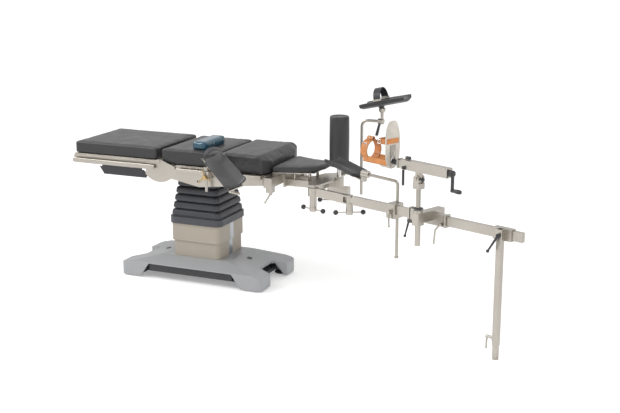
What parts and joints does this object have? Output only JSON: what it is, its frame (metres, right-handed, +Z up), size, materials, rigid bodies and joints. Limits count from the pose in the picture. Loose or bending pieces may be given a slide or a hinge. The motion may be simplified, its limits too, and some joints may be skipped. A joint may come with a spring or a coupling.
{
  "type": "operating table",
  "caption": "Operating table on a lifting column with hinged back section, side rails, arm board and a leg traction frame with floor leg.",
  "frame": {"origin": "on the floor under the middle of the whole table's outline", "axes": "+X from the back section to the traction frame, +Y to the far side, +Z up"},
  "size_m": [3.0308, 1.0882, 1.2612],
  "materials": {
    "base_paint": "satin silver-grey paint",
    "column_paint": "matt champagne paint",
    "frame_steel": "dark structural coat",
    "mast_steel": "ground and plated",
    "stainless": "brushed stainless steel",
    "foot_rubber": "matt black rubber",
    "dark_plastic": "matt black moulding",
    "bellows_rubber": "black rubberised bellows cloth",
    "upholstery": "charcoal coated upholstery",
    "gel": "blue gel in a smooth skin",
    "boot_grey": "light grey moulding",
    "strap_leather": "tan leather",
    "brass": "dull brass"
  },
  "bodies": {
    "base": {"base_cover": "base_paint", "base_chassis": "frame_steel", "foot_pads": "foot_rubber", "base_panels": "dark_plastic", "column_lower_cover": "column_paint", "mast_outer": "frame_steel"},
    "column_middle": {"column_middle_cover": "column_paint"},
    "lift": {"mast_inner": "mast_steel", "column_upper_cover": "column_paint", "bellows_collar": "dark_plastic", "bellows": "bellows_rubber"},
    "saddle": {"tilt_saddle": "mast_steel"},
    "top": {"main_frame": "stainless", "side_covers": "stainless", "side_rails": "stainless", "lower_back_mattress": "upholstery", "seat_mattress": "upholstery", "head_cushion": "gel", "extension_beam": "stainless", "extension_frame": "stainless", "pelvic_pad": "upholstery", "perineal_post": "upholstery"},
    "beam_lever": {"beam_lever": "stainless"},
    "back": {"back_frame": "stainless", "back_rails": "stainless", "back_side_plates": "dark_plastic", "back_mattress": "upholstery"},
    "arm_clamp": {"arm_clamp": "stainless"},
    "arm_clamp_knob": {"arm_clamp_knob": "brass"},
    "arm_board": {"arm_board": "stainless", "arm_pad": "upholstery"},
    "arm_release": {"arm_release_lever": "dark_plastic"},
    "left_arm": {"inner_arm_left": "stainless"},
    "left_arm_handle": {"inner_arm_handle": "dark_plastic"},
    "left_bar": {"outer_bar_left": "stainless"},
    "left_bar_handle": {"outer_arm_handle": "dark_plastic"},
    "right_arm": {"inner_arm_right": "stainless"},
    "right_arm_handle": {"right_arm_handle": "dark_plastic"},
    "crutch_tube": {"crutch_tube": "mast_steel"},
    "crutch_head": {"crutch_joint": "stainless"},
    "crutch_pad": {"crutch_pad": "upholstery"},
    "rod_clamp": {"rod_clamp": "stainless"},
    "leg_rod": {"leg_rest_rod": "mast_steel"},
    "leg_rest": {"leg_rest_joint": "stainless", "leg_rest_pad": "upholstery"},
    "carriage": {"traction_carriage": "stainless"},
    "carriage_lever": {"carriage_lever": "stainless"},
    "post_clamp_lever": {"post_clamp_lever": "stainless"},
    "traction_post": {"traction_post": "mast_steel"},
    "tilt_head": {"tilt_head": "stainless"},
    "traction_unit": {"traction_housing": "stainless"},
    "traction_ram": {"traction_slide": "stainless"},
    "crank": {"crank": "stainless"},
    "boot": {"boot_plate": "boot_grey", "boot_straps": "strap_leather"},
    "support_bracket": {"support_bracket": "stainless"},
    "support_bracket_lever": {"support_leg_lever": "dark_plastic"},
    "support_leg": {"support_leg": "stainless"},
    "foot_lever": {"foot_lever": "dark_plastic"},
    "support_foot": {"support_foot": "stainless"}
  },
  "joints": [
    {"name": "column_lift", "type": "slide", "parent": "base", "child": "lift", "axis": [0, 0, 1], "range_m": [-0.08, 0.16]},
    {"name": "column_middle_slide", "type": "slide", "parent": "base", "child": "column_middle", "axis": [0, 0, 1], "range_m": [-0.04, 0.08]},
    {"name": "head_down_tilt", "type": "hinge", "parent": "lift", "child": "saddle", "pos_m": [-0.69846, 0.24411, 0.61], "axis": [0, -1, 0], "range_deg": [0, 25], "deforming": ["bellows"]},
    {"name": "side_tilt", "type": "hinge", "parent": "saddle", "child": "top", "pos_m": [-0.69846, 0.24411, 0.66], "axis": [-1, 0, 0], "range_deg": [-15, 15]},
    {"name": "back_section_hinge", "type": "hinge", "parent": "top", "child": "back", "pos_m": [-0.87946, 0.24411, 0.772], "axis": [0, 1, 0], "range_deg": [-40, 60], "deforming": ["back_mattress"]},
    {"name": "beam_lever_turn", "type": "hinge", "parent": "top", "child": "beam_lever", "pos_m": [-0.13546, 0.00111, 0.624], "axis": [0, 0, 1], "range_deg": [-70, 70]},
    {"name": "arm_clamp_slide", "type": "slide", "parent": "top", "child": "arm_clamp", "axis": [1, 0, 0], "range_m": [-0.14, 0.2]},
    {"name": "arm_clamp_knob_turn", "type": "hinge", "parent": "arm_clamp", "child": "arm_clamp_knob", "pos_m": [-0.52946, -0.08989, 0.715], "axis": [0, 1, 0], "range_deg": [-180, 180]},
    {"name": "arm_board_swing", "type": "hinge", "parent": "arm_clamp", "child": "arm_board", "pos_m": [-0.52946, -0.07289, 0.776], "axis": [0, 0, 1], "range_deg": [-60, 5]},
    {"name": "arm_release_swing", "type": "hinge", "parent": "arm_board", "child": "arm_release", "pos_m": [-0.31951, -0.22437, 0.76329], "axis": [1, 0, 0], "range_deg": [-15, 15]},
    {"name": "near_arm_swing", "type": "hinge", "parent": "top", "child": "left_arm", "pos_m": [0.14154, 0.00311, 0.645], "axis": [0, 0, 1], "range_deg": [-50, 15]},
    {"name": "near_arm_nut_turn", "type": "hinge", "parent": "top", "child": "left_arm_handle", "pos_m": [0.14154, 0.00311, 0.564], "axis": [0, 0, 1], "range_deg": [-180, 180]},
    {"name": "near_bar_swing", "type": "hinge", "parent": "left_arm", "child": "left_bar", "pos_m": [0.4113, -0.09775, 0.67], "axis": [0, 0, 1], "range_deg": [-40, 40]},
    {"name": "near_bar_nut_turn", "type": "hinge", "parent": "left_arm", "child": "left_bar_handle", "pos_m": [0.4113, -0.09775, 0.595], "axis": [0, 0, 1], "range_deg": [-180, 180]},
    {"name": "far_arm_swing", "type": "hinge", "parent": "top", "child": "right_arm", "pos_m": [0.17454, 0.32911, 0.645], "axis": [0, 0, 1], "range_deg": [-20, 60]},
    {"name": "far_arm_nut_turn", "type": "hinge", "parent": "top", "child": "right_arm_handle", "pos_m": [0.17454, 0.32911, 0.55], "axis": [0, 0, 1], "range_deg": [-180, 180]},
    {"name": "crutch_height", "type": "slide", "parent": "top", "child": "crutch_tube", "axis": [0, 0, 1], "range_m": [-0.1, 0.04]},
    {"name": "crutch_lean", "type": "hinge", "parent": "crutch_tube", "child": "crutch_head", "pos_m": [0.43694, 0.35581, 1.052], "axis": [1, 0, 0], "range_deg": [-20, 20]},
    {"name": "crutch_pad_tilt", "type": "hinge", "parent": "crutch_head", "child": "crutch_pad", "pos_m": [0.43694, 0.35581, 1.122], "axis": [0, 1, 0], "range_deg": [-15, 15]},
    {"name": "rod_clamp_slide", "type": "slide", "parent": "left_bar", "child": "rod_clamp", "axis": [0.9367, -0.3502, 0], "range_m": [-0.2, 0.03]},
    {"name": "leg_rod_height", "type": "slide", "parent": "rod_clamp", "child": "leg_rod", "axis": [0, 0, 1], "range_m": [-0.08, 0.15]},
    {"name": "leg_rest_tilt", "type": "hinge", "parent": "leg_rod", "child": "leg_rest", "pos_m": [0.51554, -0.14689, 0.842], "axis": [0.9845, -0.1422, -0.1022], "range_deg": [-20, 20]},
    {"name": "carriage_slide", "type": "slide", "parent": "left_bar", "child": "carriage", "axis": [0.9367, -0.3502, 0], "range_m": [-0.03, 0.28]},
    {"name": "carriage_lever_turn", "type": "hinge", "parent": "carriage", "child": "carriage_lever", "pos_m": [1.03788, -0.35219, 0.652], "axis": [0.3502, 0.9367, 0], "range_deg": [-60, 60]},
    {"name": "post_lever_turn", "type": "hinge", "parent": "carriage", "child": "post_clamp_lever", "pos_m": [0.92354, -0.40989, 0.662], "axis": [-0.9226, 0.3857, 0], "range_deg": [-45, 45]},
    {"name": "post_height", "type": "slide", "parent": "carriage", "child": "traction_post", "axis": [0, 0, 1], "range_m": [-0.09, 0.09]},
    {"name": "head_turn", "type": "hinge", "parent": "traction_post", "child": "tilt_head", "pos_m": [0.92354, -0.40989, 0.849], "axis": [0, 0, 1], "range_deg": [-30, 30]},
    {"name": "unit_tilt", "type": "hinge", "parent": "tilt_head", "child": "traction_unit", "pos_m": [0.92354, -0.40989, 0.905], "axis": [0.4147, 0.91, 0], "range_deg": [-12, 12]},
    {"name": "crank_turn", "type": "hinge", "parent": "traction_unit", "child": "crank", "pos_m": [1.11463, -0.49697, 0.965], "axis": [0.91, -0.4147, 0], "range_deg": [-720, 3600]},
    {"name": "traction_travel", "type": "slide", "parent": "traction_unit", "child": "traction_ram", "axis": [-0.91, 0.4147, 0], "range_m": [-0.02, 0.1]},
    {"name": "boot_turn", "type": "hinge", "parent": "traction_ram", "child": "boot", "pos_m": [0.74428, -0.32819, 0.965], "axis": [0.91, -0.4147, 0], "range_deg": [-40, 40]},
    {"name": "leg_bracket_slide", "type": "slide", "parent": "left_bar", "child": "support_bracket", "axis": [0.9367, -0.3502, 0], "range_m": [-0.25, 0.08]},
    {"name": "leg_bracket_lever_turn", "type": "hinge", "parent": "support_bracket", "child": "support_bracket_lever", "pos_m": [1.39151, -0.52284, 0.673], "axis": [0.3502, 0.9367, 0], "range_deg": [-45, 45]},
    {"name": "floor_leg_height", "type": "slide", "parent": "support_bracket", "child": "support_leg", "axis": [0, 0, -1], "range_m": [-0.25, 0]},
    {"name": "foot_lever_turn", "type": "hinge", "parent": "support_leg", "child": "foot_lever", "pos_m": [1.35404, -0.48599, 0.112], "axis": [0.9367, -0.3502, 0], "range_deg": [-60, 60]},
    {"name": "floor_foot_height", "type": "slide", "parent": "support_leg", "child": "support_foot", "axis": [0, 0, -1], "range_m": [-0.06, 0.2]}
  ],
  "couplings": [
    {"joint": "column_middle_slide", "follows": "column_lift", "ratio": 0.5},
    {"joint": "traction_travel", "follows": "crank_turn", "m_per_rad": 0.0015915}
  ]
}
